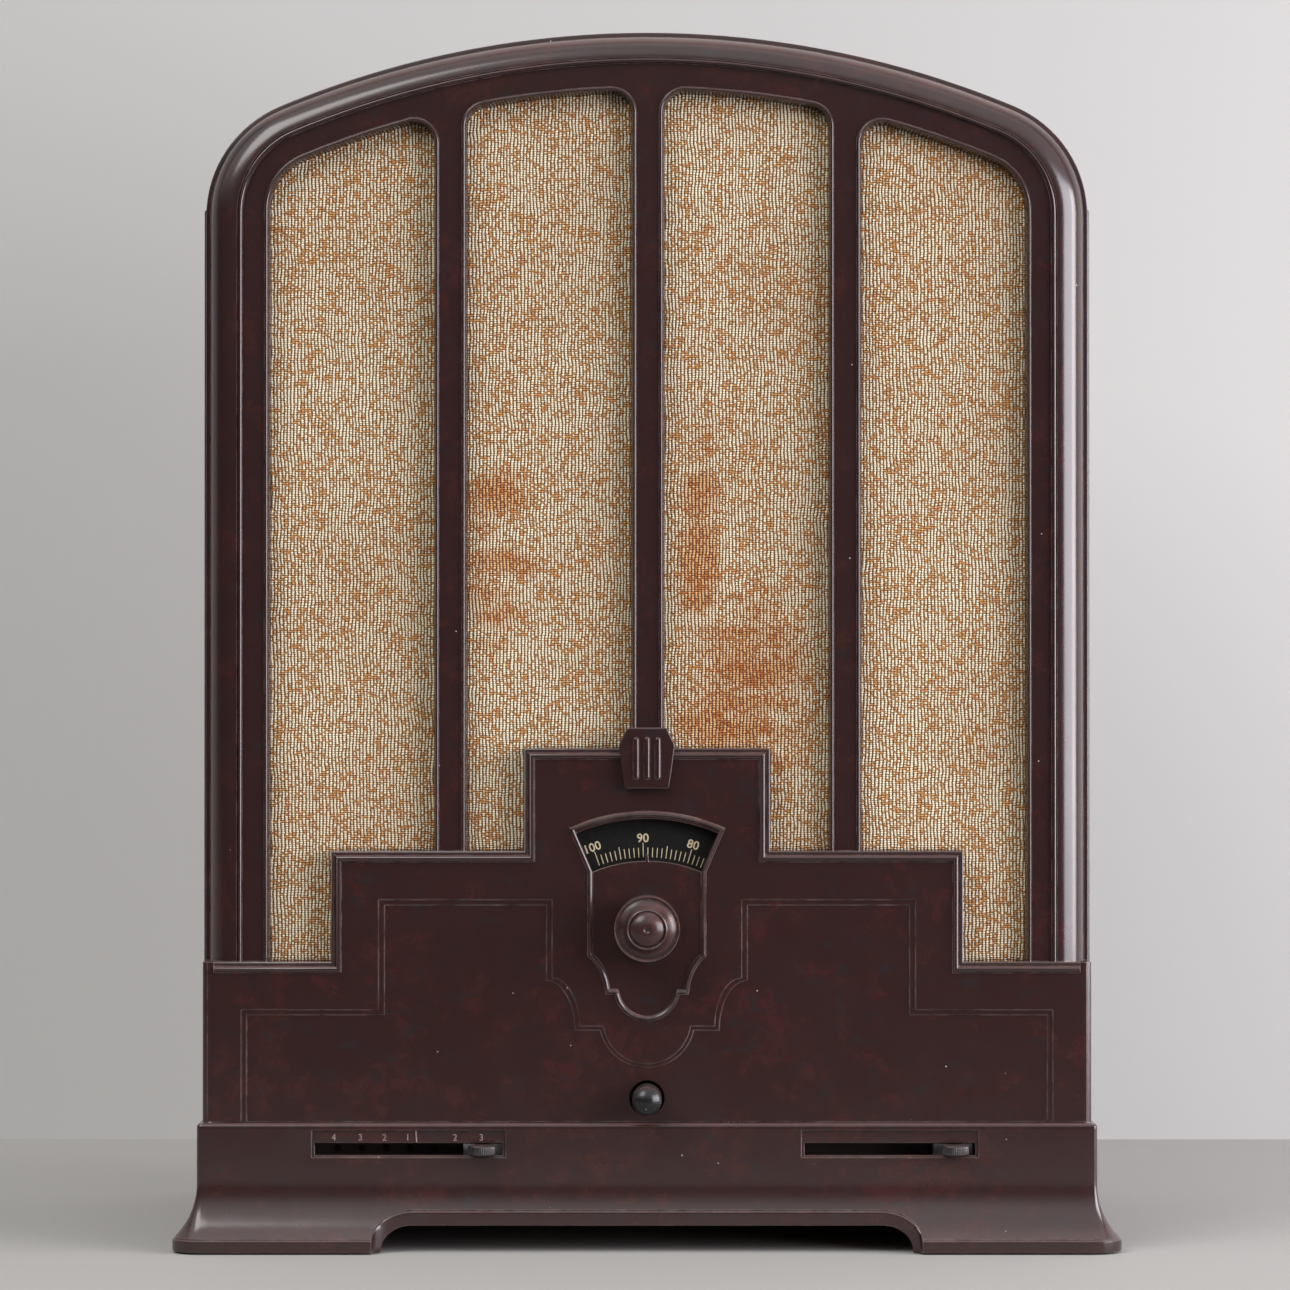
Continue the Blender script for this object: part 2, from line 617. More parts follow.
def plinth_wall():
    """Columns of (distance out, height) for each point of the way round: the rounded top edge,
    the face, the flare, a fine groove, the lip, and back up inside. Also gives the faces, less
    those where the slots' front is put in."""
    x = path[:, 0]
    line = np.where(on_front, hump(x, *LIP_Z, 94.0, 111.5), LIP_Z[0])[:, None]
    edge = np.where(on_front, hump(x, *EDGE_Z, 96.0, 108.0), EDGE_Z[0])[:, None]
    turn = np.radians([0, 22.5, 45, 67.5, 90])[None, :]
    level = np.ones_like(line)
    top_z = level * (HOOD_Z - 0.2 - TOP_ROUND * (1 - np.cos(turn)))
    flare_z = FACE_Z[0] + (line + 0.5 - FACE_Z[0]) * np.linspace(0, 1, 14)[None, :]
    groove_z = line + np.array([0.35, 0.1])
    lip_z = line - (line - edge) * np.array([0.0, 0.07, 0.2, 0.8, 0.94, 1.0])
    z = np.concatenate([level * HOOD_Z, top_z, level * FACE_Z[1], flare_z, groove_z, lip_z, edge,
                        level * FACE_Z[0], level * FACE_Z[1]], 1)
    stand = np.concatenate([flare(flare_z), flare(line) - 0.5 + 0 * groove_z,
                            flare(line) + np.array([0.1, 0.45, 0.5, 0.5, 0.3, -0.3])], 1)
    inset = np.concatenate([level * -WALL, level * -TOP_ROUND * (1 - np.sin(turn)), 0 * level,
                            0 * stand, level * -WALL, level * -WALL, level * -WALL], 1)
    outward = np.zeros_like(z)
    outward[:, 7:7 + stand.shape[1]] = stand
    flat = path[:, None] + outward[..., None] * path_out[:, None] + inset[..., None] * path_away[:, None]
    count, columns = z.shape
    faces = grid_faces(count, columns, True, True)
    face_x = np.abs(x[faces // columns]).max(1)
    height = z.reshape(-1)[faces]
    open_face = (face_x <= FACE_HALF) & on_front[faces // columns].all(1)
    open_face &= (height.min(1) > FACE_Z[0] - TINY) & (height.max(1) < FACE_Z[1] + TINY)
    return place(flat[..., 0], flat[..., 1], z), faces[~open_face]


print("wall grid", plinth_wall()[0].shape)

# %% Slots of the plinth
SLOTS = {"range": (-136.2, -57.5), "volume": (62.8, 134.6)}
SLOT_Z = (39.2, 44.2)
RECESS_Z = (38.5, 49.4)
RECESS_DEPTH, SLOT_IN = 0.9, 1.2


def rectangle(x1, x2, z1, z2):
    """Four corners."""
    return np.array([[x1, z1], [x2, z1], [x2, z2], [x1, z2]])


def slot_rim(x1, x2):
    """A shallow window with a rounded edge, its floor, and the slot cut through the floor."""
    floor_y = FRONT + RECESS_DEPTH
    return np.concatenate([
        rim(rectangle(x1, x2, *RECESS_Z), FRONT, floor_y, 0.35, True),
        rim(rectangle(x1 + SLOT_IN, x2 - SLOT_IN, *SLOT_Z), floor_y, FRONT + WALL, 0.4, True)])


def plinth_shell():
    """The wall, and the front between its two rows with both slots in it."""
    points, faces = plinth_wall()
    edge_x = np.sort(path[on_front & (np.abs(path[:, 0]) <= FACE_HALF), 0])
    loop = np.concatenate([np.stack([edge_x, 0 * edge_x + FACE_Z[0]], -1),
                           np.stack([edge_x[::-1], 0 * edge_x + FACE_Z[1]], -1)])
    front_points, front_faces = filled([rim(loop, FRONT, FRONT + WALL),
                                        *(slot_rim(*span) for span in SLOTS.values())], (0,))
    flat = points.reshape(-1, 3)
    return (np.concatenate([flat, front_points]),
            [faces] + [group + len(flat) for group in front_faces])


print("slots", SLOTS)

# %% Plinth, shelves and corner blocks
SHELF_W, SHELF_Z = 16.0, 48.3
BLOCK_HALF, BLOCK_Z = 10.0, (2.0, 14.0)
pad_low, pad_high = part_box("felt_pads")
PAD_R = 9.0
pad_x = pad_high.x / MM - PAD_R
pad_y = [(edge.y - PANEL_Y) / MM + sign * PAD_R for edge, sign in ((pad_low, 1), (pad_high, -1))]
plinth_parts = [plinth_shell()]
for side in (-1, 1):
    inner, outer = sorted((side * (HALF_W - SHELF_W), side * (HALF_P - 3)))
    plinth_parts.append(plate([rectangle(inner, outer, SHELF_Z, HOOD_Z - 0.05)], 2, REAR - 3, 0.0))
    for y in pad_y:
        block = rectangle(side * pad_x - BLOCK_HALF, side * pad_x + BLOCK_HALF, *BLOCK_Z)
        plinth_parts.append(plate([block], y - BLOCK_HALF, y + BLOCK_HALF, 0.0))
plinth = new_piece("plinth_moulding", plinth_parts, "cabinet")
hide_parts("plinth")

# %% [markdown]
# ## Grille cloth
# A slub-woven cloth is stretched over the baffle board behind the windows. It is one sheet, cut
# to the arch and to the steps. Its weave is in the material, and very low waves make it catch
# the light unevenly.

# %% Cloth grid
CLOTH_DEPTH = 9.45
CLOTH_IN = WALL + 2.5
CLOTH_CELL, CLOTH_THICK = 3.0, 0.0006
CLOTH_X = (48, 127, 173.4)
CLOTH_Z = (203.6, 161.9, 116.6)


def cloth_grid():
    """A square grid clipped to the hood's outline: the height of each point is the smaller of
    its row and the arch above it, and cells below the steps are left out."""
    half = CLOTH_X[2]
    x = np.unique([*np.arange(-half, half + 0.1, CLOTH_CELL), -CLOTH_X[1], -CLOTH_X[0], *CLOTH_X])
    z = np.unique([*np.arange(CLOTH_Z[2], 493, CLOTH_CELL), CLOTH_Z[1], CLOTH_Z[0]])
    radius = SHOULDER_R - CLOTH_IN
    shoulder_x = HALF_W - SHOULDER_R
    shoulder_z = CROWN_Z + math.sqrt((CROWN_R - SHOULDER_R) ** 2 - shoulder_x ** 2)
    joint = (CROWN_R - CLOTH_IN) * shoulder_x / (CROWN_R - SHOULDER_R)
    crown = CROWN_Z + np.sqrt((CROWN_R - CLOTH_IN) ** 2 - x ** 2)
    bend = shoulder_z + np.sqrt(np.maximum(radius ** 2 - (np.abs(x) - shoulder_x) ** 2, 0))
    top = np.where(np.abs(x) < joint, crown, bend)
    zz = np.minimum(z[:, None], top[None, :])
    xx = np.broadcast_to(x, zz.shape)
    wave = 0.12 * np.sin(xx / 9.1) * np.sin(zz / 23.0) + 0.08 * np.sin(xx / 3.7 + zz / 31.0)
    points = place(xx, CLOTH_DEPTH + np.abs(wave), zz)
    faces = grid_faces(len(z), len(x))
    across, up = xx.reshape(-1)[faces], zz.reshape(-1)[faces]
    middle = np.abs(across.min(1) + across.max(1)) / 2
    step = np.select([middle < CLOTH_X[0], middle < CLOTH_X[1]], CLOTH_Z[:2], CLOTH_Z[2])
    keep = (np.ptp(up, axis=1) > TINY) & (up.min(1) > step - 0.1) & (middle < HALF_W - CLOTH_IN)
    return points, faces[keep]


cloth_points, cloth_faces = cloth_grid()
print("cloth cells", len(cloth_faces))

# %% Cloth piece
flat_points = cloth_points.reshape(-1, 3)
used = np.unique(cloth_faces)
renumber = np.zeros(len(flat_points), int)
renumber[used] = np.arange(len(used))
cloth = new_piece("grille_cloth_sheet", [(flat_points[used], [renumber[cloth_faces]])], "cabinet",
                  closed=False)
cloth_size = np.ptp(flat_points[used], axis=0)
thick = cloth.modifiers.new("thickness", "SOLIDIFY")
thick.thickness = CLOTH_THICK
thick.offset = 1.0
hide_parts("grille_cloth")

# %% [markdown]
# ## The ornament over the dial
# Where the middle bar meets the ridge stands a small moulded ornament. It is left plain here: a
# keystone with three upright flutes, in the same bakelite.

# %% Keystone
KEY_Z = RIDGE_Z[0]
KEY_FACE = -3.4


def rounded(loop, radius, count=5):
    """A loop with its corners cut by small arcs: each corner becomes a quadratic curve between
    points at the radius from it."""
    loop = np.asarray(loop, float)
    before, after = np.roll(loop, 1, 0) - loop, np.roll(loop, -1, 0) - loop
    start = loop + radius * before / np.linalg.norm(before, axis=1, keepdims=True)
    end = loop + radius * after / np.linalg.norm(after, axis=1, keepdims=True)
    t = np.linspace(0, 1, count)[None, :, None]
    curve = (1 - t) ** 2 * start[:, None] + 2 * t * (1 - t) * loop[:, None] + t ** 2 * end[:, None]
    return curve.reshape(-1, 2)


key_line = np.array([[-9, -14], [9, -14], [11.5, 4], [8, 11], [-8, 11], [-11.5, 4]], float)
flute = np.array([[-1.1, -10], [1.1, -10], [1.1, 7], [-1.1, 7]], float)
key_parts = [plate([rounded(key_line, 0.9) + [0, KEY_Z]], KEY_FACE, 0.5, 0.6)]
key_parts += [plate([rounded(flute, 0.9) + [x, KEY_Z]], KEY_FACE - 0.95, KEY_FACE + 0.4, 0.75)
              for x in (-4.4, 0.0, 4.4)]
keystone = new_piece("keystone_ornament", key_parts, "cabinet")
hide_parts("keystone")

# %% [markdown]
# ## The dial
# The scale is printed on a black ring that turns behind the curved window. One unit is 1.8
# degrees, and 89.2 stands under the index. Marks and numbers are thin raised shapes, because a
# printed mark has to be sharper than a procedural texture would make it.

# %% Turned pieces
def turned(profile, centre, count, waves=None, upright=False):
    """A profile of (radius, place on the axis) turned once round an axis along Y, or round an
    upright one. Waves give a factor on the radius for each angle and profile point. A profile
    that starts on the axis ends there too, and any other closes to a ring."""
    profile = np.asarray(profile, float)
    angle = np.linspace(0, 2 * np.pi, count + 1)[:-1, None]
    radius = profile[:, 0] * (waves(angle) if waves else 1.0)
    sine, cosine, along = radius * np.sin(angle), radius * np.cos(angle), profile[:, 1]
    points = (place(centre[0] + cosine, centre[1] + sine, along) if upright
              else place(centre[0] + sine, along, centre[1] + cosine))
    return points, [grid_faces(count, len(profile), True, profile[0, 0] > TINY)]


print("a pin's grid", turned([[0, 0], [1, 0], [1, 1], [0, 1]], (0, 0), 8)[0].shape)

# %% Marks of the scale
DIAL_FACE = 5.2
UNIT_ANGLE = 1.8
READING = 89.2
MARK_R, MARK_HALF, NUMBER_R = 58.3, 0.16, 66.2
BOX_FACES = np.array([[0, 1, 2, 3], [7, 6, 5, 4], [0, 4, 5, 1], [1, 5, 6, 2], [2, 6, 7, 3], [3, 7, 4, 0]])


def scale_marks():
    """101 thin boxes: minor marks, longer fives and tens, each on a spoke at its unit's angle
    to the left of the top."""
    unit = np.arange(101)
    length = np.where(unit % 10 == 0, 5.9, np.where(unit % 5 == 0, 5.1, 3.95))
    turn = np.radians((unit - READING) * UNIT_ANGLE)
    spoke = np.stack([-np.sin(turn), np.cos(turn)], -1)[:, None, :]
    beside = np.stack([np.cos(turn), np.sin(turn)], -1)[:, None, :]
    across = MARK_HALF * np.array([-1, 1, 1, -1])[:, None]
    along = MARK_R + length[:, None, None] * np.array([0, 0, 1, 1])[:, None]
    flat = np.tile(spoke * along + beside * across, (1, 2, 1)) + [0.0, DIAL_Z]
    depth = np.repeat([DIAL_FACE - 0.04, DIAL_FACE + 0.1], 4)
    return (place(flat[..., 0], depth, flat[..., 1]),
            [(BOX_FACES + 8 * unit[:, None, None]).reshape(-1, 4)])


print("marks", len(scale_marks()[0]))


# %% Printed figures
def lettered(text, size, x, z, depth, turn=0.0, height=0.04, weight=0.0):
    """Plain figures as a mesh part: set flat by Blender's own font, made a mesh, then turned and
    put in place."""
    curve = bpy.data.curves.new(text, "FONT")
    curve.body, curve.size, curve.extrude = text, size, height
    curve.offset, curve.align_x, curve.align_y, curve.resolution_u = weight, "CENTER", "CENTER", 3
    thing = bpy.data.objects.new(text, curve)
    mesh = bpy.data.meshes.new_from_object(thing)
    flat = np.empty(len(mesh.vertices) * 3)
    mesh.vertices.foreach_get("co", flat)
    flat = flat.reshape(-1, 3)
    middle = (flat.min(0) + flat.max(0))[:2] / 2
    across, up = (flat[:, :2] - middle).T
    points = place(x + across * math.cos(turn) - up * math.sin(turn), depth - flat[:, 2],
                   z + across * math.sin(turn) + up * math.cos(turn))
    faces = [[list(face.vertices)] for face in mesh.polygons]
    bpy.data.objects.remove(thing)
    bpy.data.curves.remove(curve)
    bpy.data.meshes.remove(mesh)
    return points, faces


print("figure", lettered("8", 5.0, 0.0, 0.0, 0.0)[0].shape)

# %% Dial pieces
ring_profile = [[49.6, 6.2], [49.6, 5.3], [49.7, DIAL_FACE], [75.0, DIAL_FACE], [75.2, 5.4], [75.2, 6.2]]
scale_ring = new_piece("dial_scale_ring", [turned(ring_profile, (0, DIAL_Z), 144)], "dial")
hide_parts("dial_scale")
marks = new_piece("dial_marks", [scale_marks()], "dial", merge=1e-9)
turns = {value: math.radians((value - READING) * UNIT_ANGLE) for value in range(0, 101, 10)}
numbers = new_piece("dial_numbers", [
    lettered(str(value), 5.0, -NUMBER_R * math.sin(turn), DIAL_Z + NUMBER_R * math.cos(turn),
             DIAL_FACE, turn, weight=0.07) for value, turn in turns.items()], "dial", merge=1e-7)

# %% [markdown]
# ## Knobs
# The tuning knob, the switch knob and the two slider knobs are turned or pressed pieces, so each
# is a profile carried round an axis. The switch and the sliders have a finely grooved rim.

# %% Tuning and switch knobs
TUNING_PROFILE = [
    [0, -1.6], [11.9, -1.6], [12.9, -2.4], [13.3, -3.8], [13.4, -8.0], [13.4, -16.6], [13.35, -17.5],
    [13.1, -18.0], [12.8, -17.9], [12.55, -17.3], [12.0, -17.2], [10.9, -17.9], [9.8, -18.9],
    [8.9, -20.1], [8.45, -20.9], [8.2, -21.3], [7.8, -21.5], [7.45, -21.3], [7.2, -20.7],
    [7.0, -20.9], [6.8, -21.6], [6.3, -22.3], [5.3, -22.95], [4.0, -23.45], [2.6, -23.8],
    [1.5, -23.9], [1.1, -23.75], [0.8, -23.4], [0, -23.15]]
tuning = new_piece("tuning_knob_turned", [turned(TUNING_PROFILE, (0, KNOB_Z), 128)], "tuning")
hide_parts("tuning_knob")

SWITCH_PROFILE = np.array([
    [0, 1.4], [5.6, 1.4], [6.0, 1.0], [6.05, 0.5], [6.05, -14.0], [5.95, -14.6], [5.6, -15.2],
    [4.9, -16.0], [3.9, -16.8], [2.6, -17.5], [1.3, -17.8], [0, -17.9]])


def grooved(angle):
    """Radius factor of a rim with round ribs: one less a small share where a rib ends, fading
    out towards the knob's middle."""
    reach = np.clip(SWITCH_PROFILE[:, 0] - 4.9, 0, 1)
    return 1 - 0.06 * (1 - np.abs(np.sin(angle * 15))) * reach


switch = new_piece("switch_knob_ribbed",
                   [turned(SWITCH_PROFILE, (0, SWITCH_Z), 240, grooved)], "switch", sharp=50)
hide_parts("switch_knob")

# %% Slider knobs
SLIDER_Y, SLIDER_R, SLIDER_HALF = -7.6, 5.6, 2.1
SLOT_MID = 41.7
RANGE_X, VOLUME_X = -67.0, 125.0
below = np.array([[0, 0], [SLIDER_R - 0.9, 0], [SLIDER_R - 0.4, 0.12], [SLIDER_R - 0.1, 0.45],
                  [SLIDER_R, 0.9]])
below -= [0, SLIDER_HALF]
slider_profile = np.concatenate([below, below[::-1] * [1, -1]])


def ribbed(angle):
    """Radius factor of a slider's rim: fine upright ribs where the disc is widest."""
    return 1 - 0.03 * (1 - np.abs(np.sin(angle * 22.5))) * (slider_profile[:, 0] > SLIDER_R - 0.3)


sliders = []
for body, node, x in (("range_slider", "range_knob", RANGE_X), ("volume_slider", "volume_knob", VOLUME_X)):
    disc = turned(slider_profile + [0, SLOT_MID], (x, SLIDER_Y), 180, ribbed, upright=True)
    slider = new_piece(node + "_disc", [disc], body, sharp=50)
    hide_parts(node)
    sliders.append(slider)

# %% Figures over the left slot
FIGURE_Z = 46.6
figures = [("4", -127.3), ("3", -116.5), ("2", -106.7), ("1", -97.2), ("2", -78.0), ("3", -67.3)]
embossed = [lettered(text, 3.9, x, FIGURE_Z, FRONT + 0.9, height=0.16) for text, x in figures]
tick = np.array([[-95.4, 51.2], [-94.2, 49.2], [-93.8, 44.6], [-93.3, 44.6], [-93.6, 49.4], [-94.8, 51.4]])
embossed.append(plate([tick[::-1]], FRONT + 0.7, FRONT + 1.2, 0.0))
figure_piece = new_piece("slot_figures", embossed, "cabinet", merge=1e-7)

# %% [markdown]
# ## Felt feet
# Four punched discs of felt under the corner blocks. Their edges are soft and swell a little
# under the weight, so each is a turned profile with a bulging rim.

# %% Felt feet
PAD_BULGE = 0.7


def felt_profile():
    """Half the section of a pad, from the middle of its top to the middle of its underside: the
    rim bulges like a flat ellipse."""
    top, bottom = pad_high.z / MM, pad_low.z / MM
    fall = np.radians(np.linspace(90, -90, 9))
    rim_r = PAD_R - PAD_BULGE + PAD_BULGE * np.cos(fall)
    rim_z = (top + bottom) / 2 + (top - bottom) / 2 * np.sin(fall)
    return np.stack([[0.0, PAD_R / 2, *rim_r, PAD_R / 2, 0.0], [top, top, *rim_z, bottom, bottom]], -1)


pads = [turned(felt_profile(), (s * pad_x, y), 48, upright=True) for s in (-1, 1) for y in pad_y]
feet = new_piece("felt_feet", pads, "cabinet")
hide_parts("felt_pads")

# %% [markdown]
# ## Materials
# Each finish is worked out from Object coordinates, so it stays put on the piece. Effects that
# several finishes share are node groups: mottle, dust, worn edges, fibres and tarnish. The
# shader itself stays in the material, and plain values are set straight on its sockets.

# %% Node helpers
def colour(red, green, blue):
    """A colour written as 0 to 255 becomes linear: a share s of 255 gives (s + 0.055) / 1.055 to
    the power 2.4, or s / 12.92 near black."""
    share = np.array([red, green, blue]) / 255.0
    linear = np.where(share <= 0.04045, share / 12.92, ((share + 0.055) / 1.055) ** 2.4)
    return (*linear.tolist(), 1.0)


def fill(tree, sockets, values):
    """Sets each named input to its value, or links it where the value is another's output."""
    for label, value in values.items():
        if isinstance(value, bpy.types.NodeSocket):
            tree.links.new(value, sockets[label])
        else:
            sockets[label].default_value = value


def put(tree, kind, inputs=None, out=0, **settings):
    """Adds a node, fills its inputs, and gives back one of its outputs."""
    made = tree.nodes.new("ShaderNode" + kind)
    for key, value in settings.items():
        setattr(made, key, value)
    fill(tree, made.inputs, inputs or {})
    return made.outputs[out]


def mixed(share, first, second, blend="MIX"):
    """Two colours mixed by a share."""
    return put(share.id_data, "Mix", {0: share, 6: first, 7: second}, out=2, data_type="RGBA",
               blend_type=blend)


def spread(value, low, high, bottom=0.0, top=1.0):
    """A value's range from low to high, stretched smoothly to bottom to top."""
    return put(value.id_data, "MapRange", {"Value": value, "From Min": low, "From Max": high,
                                           "To Min": bottom, "To Max": top},
               interpolation_type="SMOOTHSTEP")


def maths(operation, first, second=0.0):
    """One sum on two values, in the tree that one of them comes from."""
    tree = (first if isinstance(first, bpy.types.NodeSocket) else second).id_data
    return put(tree, "Math", {0: first, 1: second}, operation=operation)


# sum, difference and product of two values
plus, less, times = (partial(maths, kind) for kind in ("ADD", "SUBTRACT", "MULTIPLY"))


def where(tree, scale=(1.0, 1.0, 1.0)):
    """The piece's own coordinates, stretched."""
    return put(tree, "Mapping", {"Vector": put(tree, "TexCoord", out="Object"), "Scale": scale})


def cloud(tree, scale, detail=2.0, rough=0.5, stretch=(1.0, 1.0, 1.0), twist=0.0):
    """Soft noise with so many waves to the metre."""
    return put(tree, "TexNoise", {"Vector": where(tree, stretch), "Scale": scale, "Detail": detail,
                                  "Roughness": rough, "Distortion": twist})


print("mid grey in linear light", round(colour(128, 128, 128)[0], 3))


# %% Groups and materials
def effect(name, inputs, outputs, build):
    """A shared node group with named inputs and outputs."""
    group = bpy.data.node_groups.new(name, "ShaderNodeTree")
    for label, value in inputs.items():
        kind = "NodeSocketColor" if isinstance(value, tuple) else "NodeSocketFloat"
        group.interface.new_socket(label, in_out="INPUT", socket_type=kind).default_value = value
    for label, kind in outputs.items():
        group.interface.new_socket(label, in_out="OUTPUT", socket_type="NodeSocket" + kind)
    made = build(group, group.nodes.new("NodeGroupInput").outputs)
    fill(group, group.nodes.new("NodeGroupOutput").inputs, made)
    return group


def use(tree, group, **inputs):
    """Places a shared group in a material and gives back its outputs."""
    made = tree.nodes.new("ShaderNodeGroup")
    made.node_tree = group
    fill(tree, made.inputs, inputs)
    return made.outputs


def finish_of(name, build, plain):
    """A material with one Principled shader: plain values set, worked-out ones linked."""
    material = bpy.data.materials.new(name)
    material.use_nodes = True
    tree = material.node_tree
    fill(tree, tree.nodes["Principled BSDF"].inputs, {**plain, **build(tree)})
    return material


def bumped(height, strength, distance):
    """A normal from a height."""
    return put(height.id_data, "Bump", {"Height": height, "Strength": strength, "Distance": distance})


print("group and material helpers ready")


# %% Shared effects
def mottle_effect(tree, given):
    """Cloudy patches of two colours over a ground colour, as in wood-filled bakelite."""
    large = cloud(tree, 42.0, 3.0, 0.6, twist=0.8)
    small = cloud(tree, 210.0, 3.0, 0.65, twist=0.5)
    warm = spread(plus(times(large, 0.6), times(small, 0.4)), 0.5, 0.62)
    grey = spread(cloud(tree, 130.0, 3.0, 0.6, (1.0, 1.0, 1.3)), 0.55, 0.72)
    return {"Color": mixed(grey, mixed(warm, given["Ground"], given["Warm"]), given["Grey"]),
            "Height": small}


def dust_effect(tree, given):
    """Sparse pale specks: cells of a Voronoi pattern, few of which hold a small round speck."""
    cells, far = (put(tree, "TexVoronoi", {"Vector": where(tree), "Scale": given["Density"]}, out=out)
                  for out in ("Color", "Distance"))
    chosen = maths("GREATER_THAN", put(tree, "SeparateColor", {"Color": cells}), 0.72)
    return {"Mask": times(chosen, spread(far, 0.05, 0.02))}


def edge_effect(tree, given):
    """Worn edges: the cosine between the surface normal and the normal of the same surface with
    its edges rounded falls below one there. Noise breaks them up."""
    soft = put(tree, "Bevel", {"Radius": given["Width"]}, samples=6)
    plain = put(tree, "NewGeometry", out="Normal")
    turn = put(tree, "VectorMath", {0: soft, 1: plain}, out="Value", operation="DOT_PRODUCT")
    gaps = spread(cloud(tree, 120.0, 4.0, 0.7), 0.3, 0.7, 0.1, 1.0)
    return {"Mask": times(spread(turn, 0.995, 0.9), gaps)}


print("effects for mouldings ready")


# %% Fibres and tarnish
def fibre_effect(tree, given):
    """Short fibres: noise stretched along two ways, mixed between two colours."""
    along = cloud(tree, 900.0, 3.0, 0.7, (0.25, 1.0, 1.0), 0.3)
    upright = cloud(tree, 900.0, 3.0, 0.7, (1.0, 1.0, 0.25), 0.3)
    fibre = maths("MAXIMUM", along, upright)
    wide = spread(cloud(tree, 30.0, 3.0), 0.3, 0.8, 0.0, 0.5)
    tone = mixed(spread(fibre, 0.45, 0.75), given["Dark"], given["Light"])
    return {"Color": mixed(wide, tone, given["Dark"]), "Height": fibre}


def tarnish_effect(tree, given):
    """Dull patches on metal: a mask of noise in two sizes, which darkens and roughens."""
    fine = cloud(tree, 700.0, 2.0, 0.6, (1.0, 1.0, 0.08))
    mask = spread(cloud(tree, 60.0, 4.0, 0.65, twist=0.4), 0.45, 0.7)
    return {"Color": mixed(mask, given["Bright"], given["Dull"]),
            "Roughness": plus(spread(mask, 0.0, 1.0, 0.28, 0.5), times(fine, 0.12)), "Height": fine}


# %% Groups of the effects
GREY = (0.5, 0.5, 0.5, 1.0)
COLOUR_AND_HEIGHT = {"Color": "Color", "Height": "Float"}
mottle = effect("mottle", {"Ground": GREY, "Warm": GREY, "Grey": GREY}, COLOUR_AND_HEIGHT, mottle_effect)
dust = effect("dust", {"Density": 130.0}, {"Mask": "Float"}, dust_effect)
worn_edges = effect("worn_edges", {"Width": 0.0006}, {"Mask": "Float"}, edge_effect)
fibres = effect("fibres", {"Dark": GREY, "Light": GREY}, COLOUR_AND_HEIGHT, fibre_effect)
tarnish = effect("tarnish", {"Bright": GREY, "Dull": GREY},
                 {"Color": "Color", "Roughness": "Float", "Height": "Float"}, tarnish_effect)
print("shared effects", [group.name for group in bpy.data.node_groups])

# %% Mouldings
WORN, FILM, SPECK = colour(188, 168, 164), colour(142, 112, 108), colour(205, 195, 188)


def moulding(ground, warm, grey, dusty, rough):
    """Moulded plastic: mottled colour, paler worn edges, a film and specks of dust where it
    faces up, and a gloss that is a little uneven."""
    def build(tree):
        body = use(tree, mottle, Ground=colour(*ground), Warm=colour(*warm), Grey=colour(*grey))
        worn = mixed(times(use(tree, worn_edges)["Mask"], 0.34), body["Color"], WORN)
        facing = put(tree, "SeparateXYZ", {"Vector": put(tree, "NewGeometry", out="Normal")}, out="Z")
        film = times(spread(facing, 0.5, 1.0), spread(cloud(tree, 45.0, 6.0, 0.75), 0.25, 0.75, 0.36, 0.58))
        speck = times(use(tree, dust)["Mask"], dusty)
        smear = spread(cloud(tree, 25.0, 4.0, 0.6, twist=1.2), 0.3, 0.75, rough - 0.01, rough + 0.03)
        return {"Base Color": mixed(speck, mixed(times(film, dusty), worn, FILM), SPECK),
                "Roughness": plus(smear, times(speck, 0.4)),
                "Normal": bumped(body["Height"], 0.12, 0.0002)}
    return build


print("mouldings ready")

# %% [markdown]
# ## The woven cloth
# The grille cloth has thick cream slubs up the warp between thin tan yarns, over a dark gap.
# Two sine waves give the yarns their round section, and noise that changes along each yarn
# turns the warp from cream to tan. Old glue has left orange stains in two windows.

# %% Cloth finish
WARP_PITCH = 0.0014
WEFT_PITCH = 0.00092
STAINS = ((-0.062, 0.285, 0.016, 0.045), (0.022, 0.290, 0.010, 0.055), (0.040, 0.225, 0.030, 0.05))


